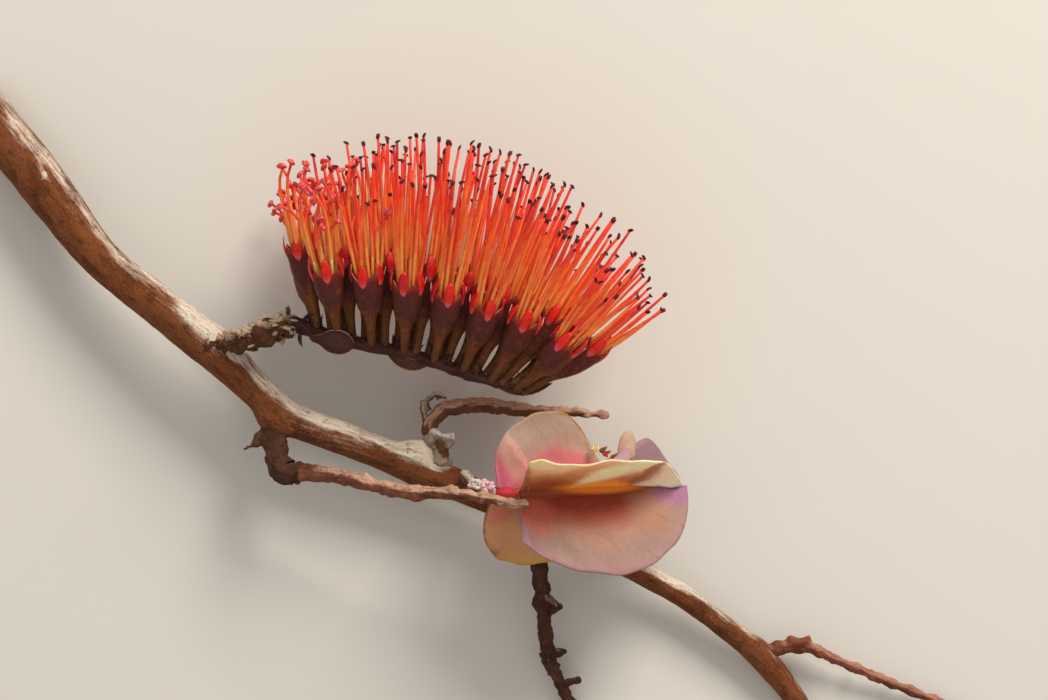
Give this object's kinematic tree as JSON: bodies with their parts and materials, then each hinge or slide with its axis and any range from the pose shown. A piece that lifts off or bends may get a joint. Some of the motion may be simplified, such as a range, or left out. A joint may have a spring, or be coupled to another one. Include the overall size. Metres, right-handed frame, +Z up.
{
  "type": "cut flowering combretum shrub branch",
  "caption": "Cut combretum shrub branch lying on its side: an arching woody stem with side twigs, a brush of long red stamens on small cups, and a papery winged fruit.",
  "frame": {"origin": "centre of the branch's outline seen from above, on the level surface that it lies on", "axes": "+Z up from that surface, +X along the branch from the thick cut end to the thin one, +Y the side that the flowers point to"},
  "size_m": [0.1908, 0.121, 0.0444],
  "materials": {
    "bark": "orange-brown fibrous bark with a pale flaking upper side, matte",
    "rough_bark": "pale flaking bark over dark brown, matte",
    "red_twig": "pinkish-brown young bark, knobbly, matte",
    "dark_twig": "dark lumpy bark, matte",
    "flower_axis": "dark purple-brown soft stalk, satin",
    "floret": "red stamens, red petals and purple-brown cups, satin",
    "fruit": "dry papery wings, pinkish brown with fine veins, matte"
  },
  "bodies": {
    "root": {"stem": "bark", "flower_spur": "rough_bark", "snag": "rough_bark", "lower_shoot": "dark_twig", "lower_twig": "red_twig", "upper_shoot": "dark_twig", "upper_twig": "dark_twig", "curled_shoot": "rough_bark", "hanging_twig": "dark_twig", "fork_twig": "red_twig", "flower_axis": "flower_axis", "floret_01": "floret", "floret_02": "floret", "floret_03": "floret", "floret_04": "floret", "floret_05": "floret", "floret_06": "floret", "floret_07": "floret", "floret_08": "floret", "floret_09": "floret", "floret_10": "floret", "floret_11": "floret", "floret_12": "floret", "floret_13": "floret", "floret_14": "floret", "floret_15": "floret", "floret_16": "floret", "floret_17": "floret", "floret_18": "floret", "floret_19": "floret", "floret_20": "floret", "floret_21": "floret", "floret_22": "floret", "floret_23": "floret", "floret_24": "floret", "floret_25": "floret", "floret_26": "floret", "floret_27": "floret", "floret_28": "floret", "floret_29": "floret", "young_ovary": "flower_axis", "fruit": "fruit", "fruit_stalk": "fruit"}
  },
  "joints": []
}
